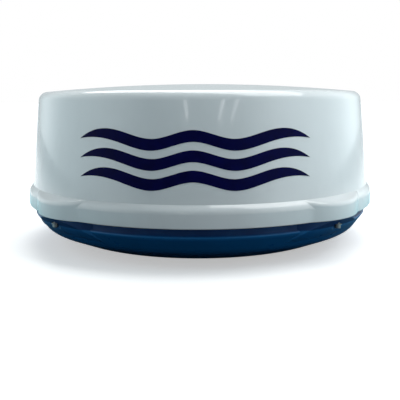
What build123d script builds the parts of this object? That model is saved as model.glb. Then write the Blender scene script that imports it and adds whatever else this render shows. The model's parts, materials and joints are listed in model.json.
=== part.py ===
from build123d import *
import os
from math import acos, atan2, cos, pi, radians, sin, sqrt, tan

# Marine radar dome antenna, 2 ft class, in millimetres.
# +Z is up, -Y is the front. The origin is on the mounting plane, under the scanner's axis.

os.makedirs("parts", exist_ok=True)

# ---------------------------------------------------------------- radome
SKIRT_R = 322.5          # outer radius of the skirt band
SKIRT_BOTTOM = 71.4
LEDGE_TOP = 106.0        # where the ledge leaves the wall
LEDGE_SLOPE = 0.9        # fall of the ledge per millimetre outwards
LEDGE_ROUND = 13.0
WALL_BOTTOM_R = 314.4    # tapered wall, at LEDGE_TOP
WALL_TOP_R = 299.9       # tapered wall, at WALL_TOP
WALL_TOP = 245.0
CROWN_TOP = 285.0        # height of the crown's middle
CROWN_EDGE_R = 287.0
CROWN_RISE = 14.1        # from the crown's edge to its middle
EDGE_ROUND = 16.0
DOME_WALL = 4.5
SEAL_STEP = 78.0         # underside of the step that closes on the gasket
LUG_ANGLES = (45, 135, 225, 315)
LUG_R = 334.0            # outermost radius of a bolt lug
LUG_CURVE = 120.0        # the lug's own plan radius
LUG_BLEND = 50.0         # concave blend between lug and skirt
LUG_SLOPE = 0.42         # fall of the lug's top per millimetre outwards
LUG_ROUND = 7.0
LUG_WALL = 4.0
BOLT_CIRCLE_R = 320.0
BOLT_R = 3.0
BOLT_HEAD_R = 5.0
BOLT_HEAD = 6.0
WASHER_R = 6.4
WASHER = 1.6
INSERT_R = 5.0
INSERT_BORE_R = 3.1
INSERT_TOP = 97.0
DECAL_THICKNESS = 0.35
DECAL_HALF_WIDTH = 176.0
DECAL_MIDDLE = 170.0
DECAL_PITCH = 29.0       # from one wave stripe to the next
DECAL_STRIPE = 17.0
DECAL_WAVE = 6.5
DECAL_BENDS = 6          # half waves along a stripe

# ---------------------------------------------------------------- base
PAD_R = 22.0
FLOOR_UNDER = 6.0
FLOOR_TOP = 11.0
FLOOR_RIB_TOP = 15.0
FLAT_R = 240.0
BOWL_KNEE = (292.0, 27.5)
BOWL_SHOULDER = (312.4, 56.0)
NECK_R = 309.4
NECK_BOTTOM = 60.5
NECK_TOP = 68.0
FLANGE_R = 317.9
FLANGE_BOTTOM = 71.0
FLANGE_TOP = 74.5
BASE_INNER_R = 303.5
LIP_R = 306.5
LIP_TOP = 80.0
EAR_BOTTOM = 62.0
EAR_GAP = 4.5            # from the lug's outline in to the ear's
RIB_FOOT = (286.0, 26.0) # where a lug's rib starts, inside the bowl's wall
RIB_KNEE = (306.5, 44.5)
CHANNEL_R = 8.5
FLAT_ROUND = 40.0        # rounds of the bowl's outline, from the underside up
KNEE_ROUND = 30.0
SHOULDER_ROUND = 3.0
NECK_ROUND = 2.5
INNER_FLAT_R = 238.0     # inside of the bowl
INNER_KNEE = (288.0, 31.0)
INNER_WALL_BOTTOM = 55.0
INNER_FLAT_ROUND = 34.0
INNER_KNEE_ROUND = 24.0
STIFFENER_HALF = 1.5     # half thickness of the floor's radial ribs
STIFFENER_REACH = (60.0, 236.0)
STIFFENER_RING = (58.0, 62.0)
GASKET_IN_R = 311.3
GASKET_OUT_R = 315.7
GASKET_BOTTOM = 73.0
GASKET_TOP = 77.6
MOUNT_X = 233.0          # hole to hole, across
MOUNT_Y = 250.0          # hole to hole, fore and aft
MOUNT_HOLE_R = 4.25      # M10 minor radius
MOUNT_INSERT_R = 8.0
MOUNT_INSERT_TOP = 25.0
MOUNT_BOSS_R = 15.0
GLAND_Z = 38.0
GLAND_FACE_Y = 297.0
GLAND_BORE_R = 5.5
GLAND_HEX = 24.0         # across the flats
GLAND_THREAD_R = 8.0
BOSS_START_Y = 262.0     # inner end of the gland's boss
BOSS_FACE = 10.0         # thickness of the boss inside the wall
BOSS_R = 20.0
SPOT_FACE_R = 16.0
GROUND_FACE_R = 297.0
GROUND_BOSS_R = 11.0
GROUND_SPOT_R = 9.0
GROUND_TAP = 16.0        # depth of the earthing screw's hole
GROUND_ANGLE = 162.0     # azimuth from the front, anticlockwise seen from above
BREATHER_AT = (-60.0, 175.0)
BREATHER_R = 6.0

# ---------------------------------------------------------------- screws
M3_R = 1.5
M3_HEAD_R = 2.8
M3_HEAD = 2.2
M3_TAP_R = 1.6
M3_CLEAR_R = 1.7
M4_R = 2.0
M4_TAP_R = 2.1
M4_CLEAR_R = 2.6
M5_R = 2.5
M5_HEAD_R = 4.7
M5_HEAD = 3.6
M5_TAP_R = 2.6
M5_CLEAR_R = 2.75
M6_TAP_R = 3.1
THROUGH = 200.0          # top of a cut that goes right through

# ---------------------------------------------------------------- chassis and scanner
PLATE_R = 200.0
PLATE_BOTTOM = 34.0
PLATE_TOP = 38.0
SPACER_CIRCLE_R = 180.0
SPACER_R = 7.0
SPACER_FOOT = 9.0        # moulded this deep into the floor
PLATE_RIM = (3.0, 6.0)   # thickness and height of the turned-up rim
PLATE_BORE_R = 26.0
FEED_SLOT = (-140.0, -120.0, -15.0, 15.0)    # where the waveguide passes the plate
WINDOW_ANGLES = (30, 150, 210, 330)          # lightening holes
WINDOW_CIRCLE_R = 150.0
WINDOW_R = 17.0
HOUSING_FLANGE = 6.0
HOUSING_BORE_R = 24.0
BRACKET_SHEET = 3.0
BRACKET_FOOT = (18.0, 46.0)                  # foot screws from the motor's axis
HOUSING_R = 36.0
HOUSING_TOP = 104.0
HOUSING_FLANGE_R = 54.0
SHAFT_R = 15.0
SHAFT_BORE_R = 8.0
BEARING_R = 27.5
BEARING_WIDTH = 13.0
BEARING_FLOORS = (46.0, 89.0)
BEARING_OUTER_BORE_R = 24.2
BEARING_INNER_R = 18.4
BALL_R = 4.0
BALL_CIRCLE_R = 21.25
BALL_COUNT = 11
GEAR_MODULE = 1.5
GEAR_TEETH = 108
PINION_TEETH = 18
PRESSURE_ANGLE = 20.0
TOOTH_THINNING = 0.16    # taken off each tooth at the pitch circle, for backlash
GEAR_BOTTOM = 110.0
GEAR_WIDTH = 6.0
MOTOR_X = GEAR_MODULE * (GEAR_TEETH + PINION_TEETH) / 2
MOTOR_PLATE_TOP = 99.0
CASE_X = (-188.0, -66.0)
CASE_Y = 55.0
CASE_TOP = 98.0
GUIDE_H = 12.7           # waveguide outer section
GUIDE_W = 25.4
GUIDE_WALL = 1.27
BOARD_BOTTOM = 46.0
BOARD_THICKNESS = 1.6

# ---------------------------------------------------------------- radiator
RADIATOR_HALF = 277.0
RADIATOR_Z = 201.0       # middle of the slotted waveguide
GUIDE_FRONT_Y = -12.0
APERTURE_Y = -48.0
APERTURE_HALF = 35.0
FLARE_SHEET = 1.5
SLOT_COUNT = 24


def cyl(r, z0, z1, x=0.0, y=0.0):
    """Upright cylinder from z0 to z1."""
    return Pos(x, y, z0) * Cylinder(r, z1 - z0, align=(Align.CENTER, Align.CENTER, Align.MIN))


def tube(r_out, r_in, z0, z1, x=0.0, y=0.0):
    """Upright tube from z0 to z1."""
    return cyl(r_out, z0, z1, x, y) - cyl(r_in, z0 - 1, z1 + 1, x, y)


def block(x0, x1, y0, y1, z0, z1):
    """Box between two corners."""
    return Pos(x0, y0, z0) * Box(x1 - x0, y1 - y0, z1 - z0, align=(Align.MIN, Align.MIN, Align.MIN))


def polar(r, angle):
    """Plan position at an azimuth from the front, anticlockwise seen from above."""
    return r * sin(radians(angle)), -r * cos(radians(angle))


def spin(points, z=0.0):
    """Solid of revolution about Z of a closed outline of (radius, height) points."""
    outline = Polyline([(r, 0, h + z) for r, h in points], close=True)
    return revolve(make_face(outline), Axis.Z)


def circle_edges_at(shape, z, r, reach=2.0):
    """Edges that lie at a height and a radius."""
    found = []
    for edge in shape.edges():
        middle = edge @ 0.5
        if abs(middle.Z - z) < reach and abs(sqrt(middle.X ** 2 + middle.Y ** 2) - r) < reach:
            found.append(edge)
    return found


def hex_prism(across_flats, z0, z1):
    """Upright hexagonal prism about Z."""
    face = RegularPolygon(across_flats / 2, 6, major_radius=False)
    return Pos(0, 0, z0) * extrude(face, z1 - z0)


def cap_screw(r, length, head_r, head_h):
    """Socket head screw, head up, with its seat at z = 0."""
    head = fillet(cyl(head_r, 0, head_h).edges().group_by(Axis.Z)[-1], head_h * 0.12)
    return head + cyl(r, -length, 0) - hex_prism(head_r * 1.05, head_h * 0.45, head_h + 1)


def pan_screw(r, length, head_r, head_h):
    """Cross recess pan head screw, head up, with its seat at z = 0."""
    head = fillet(cyl(head_r, 0, head_h).edges().group_by(Axis.Z)[-1], head_h * 0.6)
    slot = Pos(0, 0, head_h) * Box(head_r * 1.2, r * 0.45, head_h * 0.9)
    return head + cyl(r, -length, 0) - slot - Rot(0, 0, 90) * slot


def save(shape, name):
    """Write one node."""
    export_step(shape, f"parts/{name}.step")


# ================================================================ radome

def wall_r(z):
    """Outer radius of the tapered wall at a height."""
    share = (z - LEDGE_TOP) / (WALL_TOP - LEDGE_TOP)
    return WALL_BOTTOM_R + (WALL_TOP_R - WALL_BOTTOM_R) * share


def dome_body(inset, z_low, edge_round):
    """Tapered wall with a crowned top, moved inwards by the inset."""
    crown_r = (CROWN_EDGE_R ** 2 + CROWN_RISE ** 2) / (2 * CROWN_RISE) - inset
    crown_z = CROWN_TOP - inset
    corner_z = CROWN_TOP - CROWN_RISE - inset
    corner_r = wall_r(corner_z) - inset
    corner_z = crown_z - (crown_r - sqrt(crown_r ** 2 - corner_r ** 2))
    half_r = corner_r / 2
    half_z = crown_z - (crown_r - sqrt(crown_r ** 2 - half_r ** 2))
    wall = Polyline((0, 0, z_low), (wall_r(z_low) - inset, 0, z_low), (corner_r, 0, corner_z))
    crown = ThreePointArc((corner_r, 0, corner_z), (half_r, 0, half_z), (0, 0, crown_z))
    axis = Line((0, 0, crown_z), (0, 0, z_low))
    body = revolve(make_face(wall + crown + axis), Axis.Z)
    return fillet(circle_edges_at(body, corner_z, corner_r), edge_round)


def lug_outline(inset):
    """Plan of the skirt with its four bolt lugs, moved inwards by the inset."""
    plan = Circle(SKIRT_R - inset)
    for angle in LUG_ANGLES:
        x, y = polar(LUG_R - LUG_CURVE, angle)
        plan += Pos(x, y) * Circle(LUG_CURVE - inset)
    corners = [v for v in plan.vertices() if abs(v.X) > 20 and abs(v.Y) > 20]
    return fillet(corners, LUG_BLEND)


def under_ledge(slope):
    """Round block, wider than the skirt, under a ledge that falls outwards from the wall."""
    inner = WALL_BOTTOM_R - 20
    outer = LUG_R + 20
    inner_z = LEDGE_TOP + slope * (WALL_BOTTOM_R - inner)
    outer_z = LEDGE_TOP - slope * (outer - WALL_BOTTOM_R)
    return spin([(0, 0), (outer, 0), (outer, outer_z), (inner, inner_z), (0, inner_z)])


def rim_edges(shape, low):
    """Upper outer edges of the skirt or of a lug, above a height."""
    found = []
    for edge in shape.edges():
        middle = edge @ 0.5
        if middle.Z > low and sqrt(middle.X ** 2 + middle.Y ** 2) > SKIRT_R - 2:
            found.append(edge)
    return found


def skirt_block():
    """Skirt band with a falling, rounded ledge, and a flatter pad over each lug."""
    band = Pos(0, 0, SKIRT_BOTTOM) * extrude(lug_outline(0), 60) & under_ledge(LEDGE_SLOPE)
    top = [e for e in rim_edges(band, SKIRT_BOTTOM + 5) if abs((e % 0.5).Z) < 0.5]
    band = fillet(top, LEDGE_ROUND)
    bottom = [e for e in band.edges() if abs((e @ 0.5).Z - SKIRT_BOTTOM) < 0.1]
    band = fillet(bottom, 1.2)
    for angle in LUG_ANGLES:
        x, y = polar(LUG_R - LUG_CURVE, angle)
        pad = cyl(LUG_CURVE, SKIRT_BOTTOM + 4, CROWN_TOP, x, y) & under_ledge(LUG_SLOPE)
        band += fillet(rim_edges(pad, SKIRT_BOTTOM + 10), LUG_ROUND)
    return band


def upper_radome():
    """White dome with its skirt band, four bolt lugs and the step over the gasket."""
    shell = skirt_block() + dome_body(0, SKIRT_BOTTOM + 10, EDGE_ROUND)
    shell -= dome_body(DOME_WALL, SEAL_STEP - 5, EDGE_ROUND - DOME_WALL)
    shell -= cyl(SKIRT_R - LUG_WALL + 0.2, SKIRT_BOTTOM - 5, SEAL_STEP)
    shell -= Pos(0, 0, SKIRT_BOTTOM - 5) * extrude(lug_outline(LUG_WALL), SEAL_STEP - SKIRT_BOTTOM + 5)
    for angle in LUG_ANGLES:
        x, y = polar(BOLT_CIRCLE_R, angle)
        shell -= cyl(INSERT_R, SEAL_STEP - 1, INSERT_TOP, x, y)
    return shell


def radome_inserts():
    """Brass inserts moulded into the lugs."""
    solids = []
    for angle in LUG_ANGLES:
        x, y = polar(BOLT_CIRCLE_R, angle)
        body = tube(INSERT_R, INSERT_BORE_R, SEAL_STEP, INSERT_TOP - 2, x, y)
        solids.append(body + cyl(INSERT_R, INSERT_TOP - 2, INSERT_TOP, x, y))
    return Compound(children=solids)


def wave_stripe(z_mid):
    """One wavy stripe with pointed ends, in the XZ plane."""
    step = 2 * DECAL_HALF_WIDTH / DECAL_BENDS
    upper = [(-DECAL_HALF_WIDTH, z_mid)]
    lower = [(DECAL_HALF_WIDTH, z_mid)]
    for k in range(1, DECAL_BENDS):
        x = -DECAL_HALF_WIDTH + k * step
        rise = DECAL_WAVE * (1 if k % 2 else -1)
        upper.append((x, z_mid + rise + DECAL_STRIPE / 2))
        lower.append((-x, z_mid + rise - DECAL_STRIPE / 2))
    upper.append((DECAL_HALF_WIDTH, z_mid))
    lower.append((-DECAL_HALF_WIDTH, z_mid))
    return make_face(Plane.XZ * (Spline(upper) + Spline(lower)))


def front_decal():
    """Three vinyl wave stripes that follow the wall's front."""
    skin = dome_body(-DECAL_THICKNESS, 100, EDGE_ROUND) - dome_body(0, 90, EDGE_ROUND)
    stripes = []
    for k in (1, 0, -1):
        prism = extrude(wave_stripe(DECAL_MIDDLE + k * DECAL_PITCH), SKIRT_R + 20, dir=(0, -1, 0))
        stripes.append(prism & skin)
    return Compound(children=[s for stripe in stripes for s in stripe.solids()])


# ================================================================ base

def bowl():
    """Outer body of the base, from the flat underside to the flange."""
    floor_edge = (FLAT_R, FLOOR_UNDER)
    body = spin([(0, FLOOR_UNDER), floor_edge, BOWL_KNEE, BOWL_SHOULDER,
                 (NECK_R, NECK_BOTTOM), (NECK_R, NECK_TOP), (FLANGE_R, FLANGE_BOTTOM),
                 (FLANGE_R, FLANGE_TOP), (LIP_R, FLANGE_TOP), (LIP_R, LIP_TOP), (0, LIP_TOP)])
    body = fillet(circle_edges_at(body, FLOOR_UNDER, FLAT_R), FLAT_ROUND)
    body = fillet(circle_edges_at(body, BOWL_KNEE[1], BOWL_KNEE[0]), KNEE_ROUND)
    body = fillet(circle_edges_at(body, BOWL_SHOULDER[1], BOWL_SHOULDER[0], 0.5), SHOULDER_ROUND)
    return fillet(circle_edges_at(body, NECK_BOTTOM, NECK_R, 0.5), NECK_ROUND)


def lug_ribs():
    """Swellings of the bowl that run down from the four bolt ears."""
    ear_r = LUG_R - EAR_GAP
    cone = spin([(0, RIB_FOOT[1]), RIB_FOOT, RIB_KNEE, (ear_r, FLANGE_BOTTOM), (ear_r, FLANGE_TOP),
                 (0, FLANGE_TOP)])
    ribs = Part()
    for angle in LUG_ANGLES:
        x, y = polar(LUG_R - LUG_CURVE, angle)
        ribs += cyl(LUG_CURVE - EAR_GAP, RIB_FOOT[1], FLANGE_TOP, x, y) & cone
    return ribs


def hollow():
    """Inside of the bowl."""
    body = spin([(0, FLOOR_TOP), (INNER_FLAT_R, FLOOR_TOP), INNER_KNEE,
                 (BASE_INNER_R, INNER_WALL_BOTTOM), (BASE_INNER_R, LIP_TOP + 5), (0, LIP_TOP + 5)])
    body = fillet(circle_edges_at(body, FLOOR_TOP, INNER_FLAT_R), INNER_FLAT_ROUND)
    return fillet(circle_edges_at(body, INNER_KNEE[1], INNER_KNEE[0]), INNER_KNEE_ROUND)


def mount_spots():
    """Plan positions of the four mounting holes."""
    return [(sx * MOUNT_X / 2, sy * MOUNT_Y / 2) for sx in (-1, 1) for sy in (-1, 1)]


def spacer_spots():
    """Plan positions of the chassis spacers."""
    return [polar(SPACER_CIRCLE_R, k * 60) for k in range(6)]


def ground_frame():
    """Frame at the ground boss: its +Z points outwards, square to the axis."""
    x, y = polar(1, GROUND_ANGLE)
    return Plane(origin=(x * GROUND_FACE_R, y * GROUND_FACE_R, GLAND_Z), x_dir=(-y, x, 0), z_dir=(x, y, 0))


def lower_base():
    """Blue bowl with pads, bosses, ribs, bolt ears, gland boss and gasket groove."""
    body = bowl() + lug_ribs()
    rear_boss = gland_plane(BOSS_START_Y)
    boss_end = GLAND_FACE_Y - BOSS_START_Y
    body += rear_boss * extrude(Circle(BOSS_R), boss_end)
    body += ground_frame() * Pos(0, 0, -30) * extrude(Circle(GROUND_BOSS_R), 30)
    body -= hollow()
    body += rear_boss * Pos(0, 0, BOSS_FACE) * extrude(Circle(BOSS_R), boss_end - BOSS_FACE)
    body += ground_frame() * Pos(0, 0, -22) * extrude(Circle(GROUND_BOSS_R), 22)
    for x, y in mount_spots():
        body += cyl(PAD_R, 0, FLOOR_UNDER + 1, x, y)
        body += cyl(MOUNT_BOSS_R, FLOOR_TOP - 1, FLOOR_RIB_TOP, x, y)
    for x, y in spacer_spots():
        body += cyl(SPACER_R + 3, FLOOR_TOP - 1, FLOOR_RIB_TOP, x, y)
    for k in range(8):
        rib = block(*STIFFENER_REACH, -STIFFENER_HALF, STIFFENER_HALF, FLOOR_TOP - 1, FLOOR_RIB_TOP)
        body += Rot(0, 0, 22.5 + 45 * k) * rib
    ring_in, ring_out = STIFFENER_RING
    body += tube(ring_out, ring_in, FLOOR_TOP - 1, FLOOR_RIB_TOP)
    for x, y in mount_spots():
        body -= cyl(MOUNT_INSERT_R, -1, MOUNT_INSERT_TOP, x, y)
    for x, y in spacer_spots():
        body -= cyl(SPACER_R, SPACER_FOOT, PLATE_BOTTOM, x, y)
    for angle in LUG_ANGLES:
        x, y = polar(BOLT_CIRCLE_R, angle)
        body -= cyl(CHANNEL_R, 0, EAR_BOTTOM, x, y)
        body -= cyl(BOLT_R + 0.4, 0, FLANGE_TOP + 1, x, y)
    body -= tube(GASKET_OUT_R, GASKET_IN_R, GASKET_BOTTOM, FLANGE_TOP + 1)
    body -= rear_boss * extrude(Circle(GLAND_THREAD_R + 0.1), 60)
    body -= gland_plane(GLAND_FACE_Y) * extrude(Circle(SPOT_FACE_R), 30)
    body -= ground_frame() * extrude(Circle(GROUND_SPOT_R), 30)
    body -= ground_frame() * Pos(0, 0, -GROUND_TAP) * extrude(Circle(M6_TAP_R), 30)
    body -= cyl(BREATHER_R + 0.05, 0, FLOOR_TOP + 1, *BREATHER_AT)
    return body


def rim_gasket():
    """Square rubber ring in the flange's groove."""
    ring = tube(GASKET_OUT_R - 0.1, GASKET_IN_R + 0.1, GASKET_BOTTOM, GASKET_TOP)
    return fillet(ring.edges().group_by(Axis.Z)[-1], 1.2)


def radome_bolts():
    """Four captive cap screws that come up through the ears."""
    solids = []
    for angle in LUG_ANGLES:
        x, y = polar(BOLT_CIRCLE_R, angle)
        screw = cap_screw(BOLT_R, 31, BOLT_HEAD_R, BOLT_HEAD)
        solids.append(Pos(x, y, EAR_BOTTOM - WASHER) * Rot(180, 0, 0) * screw)
    return Compound(children=solids)


def bolt_washers():
    """Plain washers under the radome bolts' heads."""
    solids = []
    for angle in LUG_ANGLES:
        x, y = polar(BOLT_CIRCLE_R, angle)
        solids.append(tube(WASHER_R, BOLT_R, EAR_BOTTOM - WASHER, EAR_BOTTOM, x, y))
    return Compound(children=solids)


def mounting_inserts():
    """Blind M10 stainless inserts in the pads."""
    solids = []
    for x, y in mount_spots():
        body = cyl(MOUNT_INSERT_R, 0, MOUNT_INSERT_TOP, x, y)
        solids.append(body - cyl(MOUNT_HOLE_R, -1, 20, x, y))
    return Compound(children=solids)


def gland_plane(y):
    """Plane square to the gland's axis, at a distance behind the middle."""
    return Plane(origin=(0, y, GLAND_Z), x_dir=(1, 0, 0), z_dir=(0, 1, 0))


def gland_body():
    """Hexagon, inner thread and outer collet thread of the cable gland."""
    flange = extrude(RegularPolygon(GLAND_HEX / 2, 6, major_radius=False), 6)
    body = flange + Pos(0, 0, -34) * extrude(Circle(GLAND_THREAD_R), 34)
    body += Pos(0, 0, 6) * extrude(Circle(GLAND_THREAD_R + 1.5), 5)
    bore = Pos(0, 0, -40) * extrude(Circle(GLAND_BORE_R + 1.5), 60)
    return gland_plane(GLAND_FACE_Y) * (body - bore)


def gland_nut():
    """Domed compression nut, outermost piece of the gland."""
    outer = fillet(extrude(Circle(GLAND_HEX / 2), 12).edges().group_by(Axis.Z)[-1], 4)
    flats = extrude(RegularPolygon(11.2, 6, major_radius=False), 12)
    body = outer & flats
    body -= Pos(0, 0, -1) * extrude(Circle(9.6), 6)
    body -= Pos(0, 0, -1) * extrude(Circle(GLAND_BORE_R + 1), 20)
    return gland_plane(GLAND_FACE_Y + 6.3) * body


def gland_seal():
    """Rubber sleeve that closes round the cable."""
    sleeve = extrude(Circle(GLAND_BORE_R + 1.4), 14) - extrude(Circle(GLAND_BORE_R), 14)
    return gland_plane(GLAND_FACE_Y - 4) * sleeve


def gland_locknut():
    """Nut on the gland's thread, inside the base."""
    nut = extrude(RegularPolygon(GLAND_HEX / 2, 6, major_radius=False), 5)
    nut -= extrude(Circle(GLAND_THREAD_R + 0.05), 5)
    return gland_plane(GLAND_FACE_Y - 30.2) * nut


def breather_plug():
    """Membrane breather pushed into the floor."""
    x, y = BREATHER_AT
    cap = fillet(cyl(10, 2.5, FLOOR_UNDER).edges().group_by(Axis.Z)[0], 1.5)
    plug = cap + cyl(BREATHER_R, FLOOR_UNDER, FLOOR_TOP + 3) - cyl(3, FLOOR_UNDER, FLOOR_TOP + 5)
    return Pos(x, y, 0) * plug


def ground_screw():
    """M6 earthing screw on the rear boss."""
    return ground_frame() * Pos(0, 0, 1.6) * cap_screw(3, 14, 5, 6)


def ground_washer():
    """Washer under the earthing screw."""
    return ground_frame() * (extrude(Circle(7), 1.6) - extrude(Circle(3.1), 1.6))


# ================================================================ chassis

def chassis_spacers():
    """Aluminium spacers moulded into the floor, with a blind thread for a plate screw."""
    solids = []
    for x, y in spacer_spots():
        thread = cyl(M5_TAP_R, 20, PLATE_BOTTOM + 1, x, y)
        solids.append(cyl(SPACER_R, SPACER_FOOT, PLATE_BOTTOM, x, y) - thread)
    return Compound(children=solids)


def chassis_plate():
    """Aluminium plate with a turned-up rim that carries everything inside."""
    plate = cyl(PLATE_R, PLATE_BOTTOM, PLATE_TOP)
    rim, rim_height = PLATE_RIM
    plate += tube(PLATE_R, PLATE_R - rim, PLATE_TOP - 1, PLATE_TOP + rim_height)
    plate -= cyl(PLATE_BORE_R, 0, THROUGH)
    plate -= block(*FEED_SLOT, 0, THROUGH)
    for x, y in spacer_spots():
        plate -= cyl(M5_CLEAR_R, 0, THROUGH, x, y)
    for angle in WINDOW_ANGLES:
        x, y = polar(WINDOW_CIRCLE_R, angle)
        plate -= cyl(WINDOW_R, 0, THROUGH, x, y)
    for x, y in housing_screw_spots() + bracket_foot_spots():
        plate -= cyl(M5_TAP_R, 0, THROUGH, x, y)
    return plate


def housing_screw_spots():
    """Plan positions of the bearing housing's screws."""
    return [polar(46, 45 + 90 * k) for k in range(4)]


def bracket_foot_spots():
    """Plan positions of the motor bracket's screws."""
    reach_x, reach_y = BRACKET_FOOT
    return [(MOTOR_X + dx, dy) for dx in (-reach_x, reach_x) for dy in (-reach_y, reach_y)]


def m5_screws():
    """Equal M5 screws of the chassis plate, the bearing housing and the motor bracket."""
    solids = []
    for x, y in spacer_spots():
        solids.append(Pos(x, y, PLATE_TOP) * pan_screw(M5_R, 14, M5_HEAD_R, M5_HEAD))
    for x, y in housing_screw_spots():
        screw = pan_screw(M5_R, 10, M5_HEAD_R, M5_HEAD)
        solids.append(Pos(x, y, PLATE_TOP + HOUSING_FLANGE) * screw)
    for x, y in bracket_foot_spots():
        screw = pan_screw(M5_R, 7, M5_HEAD_R, M5_HEAD)
        solids.append(Pos(x, y, PLATE_TOP + BRACKET_SHEET) * screw)
    return Compound(children=solids)


def bearing_housing():
    """Cast tower with a seat for each bearing and four gussets."""
    foot = PLATE_TOP + HOUSING_FLANGE
    body = cyl(HOUSING_FLANGE_R, PLATE_TOP, foot) + cyl(HOUSING_R, PLATE_TOP, HOUSING_TOP)
    gusset = make_face(Polyline((30, 0, foot), (52, 0, foot), (36, 0, 80), (30, 0, 80), close=True))
    for k in range(4):
        body += Rot(0, 0, 90 * k) * (Pos(0, 2, 0) * extrude(gusset, 4, dir=(0, -1, 0)))
    body -= cyl(HOUSING_BORE_R, 0, THROUGH)
    low, high = BEARING_FLOORS
    body -= cyl(BEARING_R, low, low + BEARING_WIDTH)
    body -= cyl(BEARING_R, high, HOUSING_TOP + 1)
    body -= cyl(25, low, high)
    for x, y in housing_screw_spots():
        body -= cyl(M5_CLEAR_R, 0, foot + 0.5, x, y)
    return fillet(circle_edges_at(body, HOUSING_TOP, HOUSING_R, 0.5), 1.5)


def race_groove(centre_z):
    """Ring that the balls run in, a little larger than a ball."""
    return Pos(0, 0, centre_z) * Torus(BALL_CIRCLE_R, BALL_R + 0.08)


def bearing_outer_rings():
    """Outer rings of the two deep-groove bearings."""
    rings = []
    for floor in BEARING_FLOORS:
        ring = tube(BEARING_R, BEARING_OUTER_BORE_R, floor, floor + BEARING_WIDTH)
        rings.append(ring - race_groove(floor + BEARING_WIDTH / 2))
    return Compound(children=rings)


def bearing_inner_rings():
    """Inner rings of the two bearings, tight on the shaft."""
    rings = []
    for floor in BEARING_FLOORS:
        ring = tube(BEARING_INNER_R, SHAFT_R, floor, floor + BEARING_WIDTH)
        rings.append(ring - race_groove(floor + BEARING_WIDTH / 2))
    return Compound(children=rings)


def bearing_balls():
    """Steel balls of both bearings."""
    balls = []
    for floor in BEARING_FLOORS:
        for k in range(BALL_COUNT):
            x, y = polar(BALL_CIRCLE_R, k * 360 / BALL_COUNT)
            balls.append(Pos(x, y, floor + BEARING_WIDTH / 2) * Sphere(BALL_R))
    return Compound(children=balls)


# ================================================================ drive

def involute_point(base_r, r, start, side):
    """Point at radius r on the involute of a base circle."""
    pressure = acos(base_r / r)
    angle = start + side * (tan(pressure) - pressure)
    return r * cos(angle), r * sin(angle)


def gear_outline(teeth, phase):
    """Plan of a spur gear; the phase turns it, in degrees."""
    pitch_r = GEAR_MODULE * teeth / 2
    base_r = pitch_r * cos(radians(PRESSURE_ANGLE))
    tip_r = pitch_r + GEAR_MODULE
    root_r = pitch_r - 1.25 * GEAR_MODULE
    foot_r = max(base_r * 1.0005, root_r + 0.1)
    mid_r = (foot_r + tip_r) / 2
    half = (pi * GEAR_MODULE / 2 - TOOTH_THINNING) / (2 * pitch_r)
    inv = tan(radians(PRESSURE_ANGLE)) - radians(PRESSURE_ANGLE)
    edges = []
    last = None
    first = None
    for k in range(teeth):
        centre = radians(phase) + 2 * pi * k / teeth
        flanks = []
        for side in (1, -1):
            start = centre - side * (half + inv)
            flanks.append([involute_point(base_r, r, start, side) for r in (foot_r, mid_r, tip_r)])
        rise, fall = flanks[0], flanks[1][::-1]
        foot_in = radial(rise[0], root_r)
        foot_out = radial(fall[2], root_r)
        if last is not None:
            edges.append(root_arc(last, foot_in, root_r))
        else:
            first = foot_in
        edges.append(Line(foot_in, rise[0]))
        edges.append(ThreePointArc(*rise))
        edges.append(ThreePointArc(rise[2], (tip_r * cos(centre), tip_r * sin(centre)), fall[0]))
        edges.append(ThreePointArc(*fall))
        edges.append(Line(fall[2], foot_out))
        last = foot_out
    edges.append(root_arc(last, first, root_r))
    return make_face(Wire(edges))


def radial(point, r):
    """Point on the same ray at another radius."""
    angle = atan2(point[1], point[0])
    return r * cos(angle), r * sin(angle)


def root_arc(a, b, r):
    """Arc of the root circle between two points."""
    mx, my = (a[0] + b[0]) / 2, (a[1] + b[1]) / 2
    size = sqrt(mx * mx + my * my)
    return ThreePointArc(a, (mx * r / size, my * r / size), b)


def hub_screw_spots():
    """Plan positions of the screws that clamp the bracket and the gear to the shaft."""
    return [polar(26, 30 + 60 * k) for k in range(6)]


def antenna_shaft():
    """Hollow shaft with a flange under the main gear."""
    body = cyl(SHAFT_R, 40, GEAR_BOTTOM + GEAR_WIDTH) + cyl(34, HOUSING_TOP + 1, GEAR_BOTTOM)
    body -= cyl(SHAFT_BORE_R, 0, THROUGH)
    for x, y in hub_screw_spots():
        body -= cyl(M4_TAP_R, HOUSING_TOP, GEAR_BOTTOM + 1, x, y)
    return body


def shaft_nut():
    """Slotted ring nut under the lower bearing."""
    body = tube(21, SHAFT_R, 40, 45.5)
    for k in range(4):
        body -= Rot(0, 0, 90 * k) * block(18, 23, -2.5, 2.5, 39, 46)
    return body


def main_gear():
    """Plastic gear with a rim, a hub and six windows."""
    face = gear_outline(GEAR_TEETH, 0)
    body = Pos(0, 0, GEAR_BOTTOM) * extrude(face, GEAR_WIDTH)
    body -= cyl(SHAFT_R + 0.02, 0, THROUGH)
    for k in range(6):
        x, y = polar(56, 60 * k + 30)
        body -= cyl(14, 0, THROUGH, x, y)
    for x, y in hub_screw_spots():
        body -= cyl(M4_CLEAR_R, 0, THROUGH, x, y)
    return body


def heading_magnet():
    """Small magnet under the gear that marks dead ahead."""
    return cyl(3, GEAR_BOTTOM - 1.6, GEAR_BOTTOM, 0, -73)


def output_shaft():
    """Gearbox output shaft under the pinion."""
    return cyl(4, MOTOR_PLATE_TOP + 0.5, GEAR_BOTTOM + GEAR_WIDTH + 3, MOTOR_X, 0)


def pinion():
    """Brass pinion in mesh with the main gear."""
    phase = 180 + 180 / PINION_TEETH
    body = extrude(gear_outline(PINION_TEETH, phase), GEAR_WIDTH + 2)
    body += cyl(8, -2.6, 0)
    body -= cyl(4, -5, 20)
    return Pos(MOTOR_X, 0, GEAR_BOTTOM - 1) * body


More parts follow.
